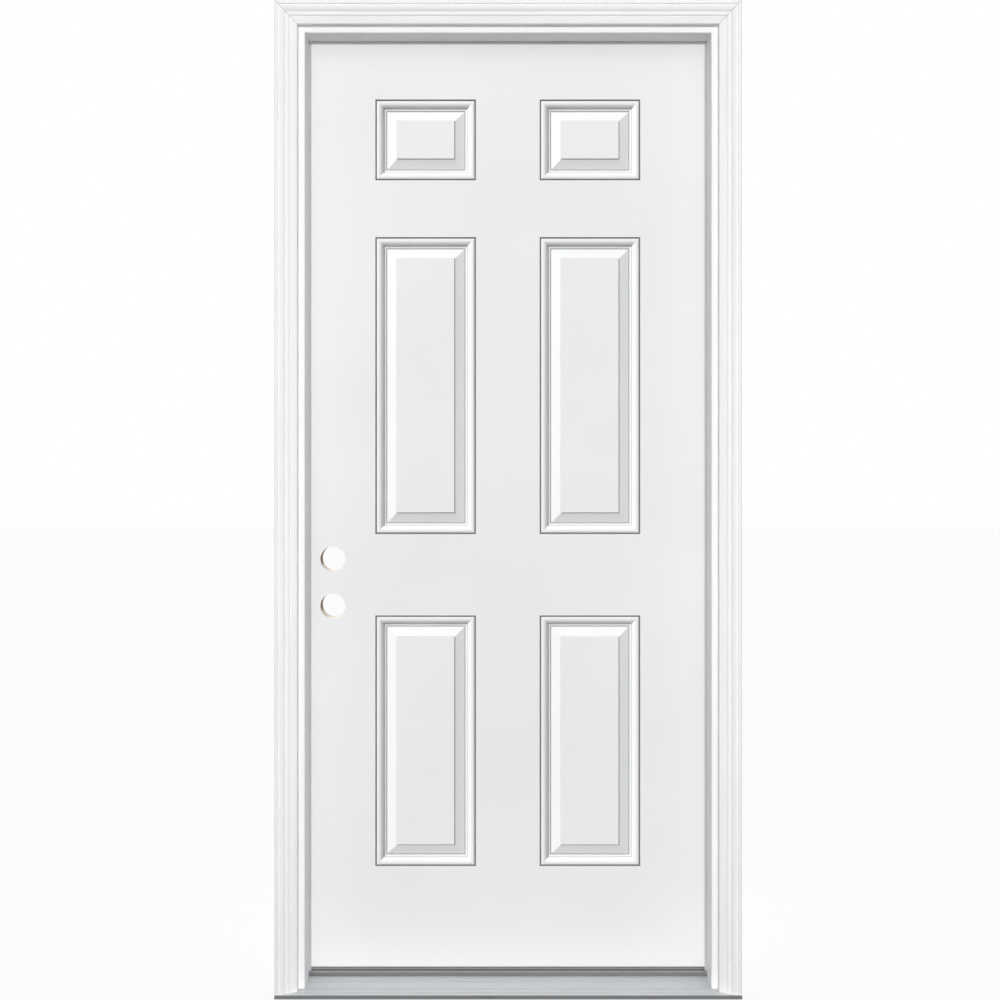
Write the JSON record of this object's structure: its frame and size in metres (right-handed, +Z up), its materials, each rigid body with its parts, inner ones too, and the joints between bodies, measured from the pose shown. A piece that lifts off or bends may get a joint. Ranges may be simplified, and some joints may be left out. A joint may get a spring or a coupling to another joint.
{
  "type": "prehung steel front door",
  "caption": "Six-panel insulated steel door leaf hinged in a primed wood frame with mitred exterior casing, weatherstrip and an adjustable aluminium sill; lock bores left empty.",
  "frame": {"origin": "on the floor under the middle of the opening, in the plane of the jambs' outer edge", "axes": "+X to the right as seen from outside, towards the hinges; +Y into the house; +Z up"},
  "size_m": [0.981, 0.1669, 2.0955],
  "materials": {
    "primed_steel": "satin",
    "primed_wood": "satin",
    "edge_wood": "matte",
    "core_foam": "matte",
    "mill_aluminium": "satin",
    "sill_composite": "matte",
    "riser_composite": "matte",
    "seal_foam": "matte",
    "sweep_vinyl": "matte",
    "hinge_steel": "satin",
    "zinc_steel": "satin"
  },
  "bodies": {
    "frame": {"strike_jamb": "primed_wood", "hinge_jamb": "primed_wood", "head_jamb": "primed_wood", "brickmould_strike": "primed_wood", "brickmould_hinge": "primed_wood", "brickmould_head": "primed_wood", "sill_deck": "mill_aluminium", "sill_substrate": "sill_composite", "weatherstrip_strike": "seal_foam", "weatherstrip_hinge": "seal_foam", "weatherstrip_head": "seal_foam", "corner_pad_strike": "seal_foam", "corner_pad_hinge": "seal_foam", "hinge_frame_leaf_top": "hinge_steel", "hinge_frame_leaf_middle": "hinge_steel", "hinge_frame_leaf_bottom": "hinge_steel", "hinge_pin_top": "hinge_steel", "hinge_pin_middle": "hinge_steel", "hinge_pin_bottom": "hinge_steel"},
    "door_leaf": {"exterior_skin": "primed_steel", "interior_skin": "primed_steel", "foam_core": "core_foam", "lock_stile": "edge_wood", "hinge_stile": "edge_wood", "top_rail": "edge_wood", "bottom_rail": "edge_wood", "lock_block": "edge_wood", "door_sweep": "sweep_vinyl", "hinge_door_leaf_top": "hinge_steel", "hinge_door_leaf_middle": "hinge_steel", "hinge_door_leaf_bottom": "hinge_steel"},
    "riser": {"threshold_riser": "riser_composite"},
    "riser_screw_1": {"riser_screw_1": "zinc_steel"},
    "riser_screw_2": {"riser_screw_2": "zinc_steel"},
    "riser_screw_3": {"riser_screw_3": "zinc_steel"}
  },
  "joints": [
    {"name": "door_swing", "type": "hinge", "parent": "frame", "child": "door_leaf", "pos_m": [0.4416, 0.1287, 0], "axis": [0, 0, -1], "range_deg": [0, 175]},
    {"name": "riser_lift", "type": "slide", "parent": "frame", "child": "riser", "axis": [0, 0, 1], "range_m": [-0.004, 0]},
    {"name": "riser_turn_1", "type": "hinge", "parent": "frame", "child": "riser_screw_1", "pos_m": [-0.31874, 0.0885, 0.0083], "axis": [0, 0, 1], "range_deg": [0, 1140]},
    {"name": "riser_turn_2", "type": "hinge", "parent": "frame", "child": "riser_screw_2", "pos_m": [0, 0.0885, 0.0083], "axis": [0, 0, 1], "range_deg": [0, 1140]},
    {"name": "riser_turn_3", "type": "hinge", "parent": "frame", "child": "riser_screw_3", "pos_m": [0.31874, 0.0885, 0.0083], "axis": [0, 0, 1], "range_deg": [0, 1140]}
  ],
  "couplings": [
    {"joint": "riser_turn_1", "follows": "riser_lift", "rad_per_m": -4947.4},
    {"joint": "riser_turn_2", "follows": "riser_lift", "rad_per_m": -4947.4},
    {"joint": "riser_turn_3", "follows": "riser_lift", "rad_per_m": -4947.4}
  ]
}
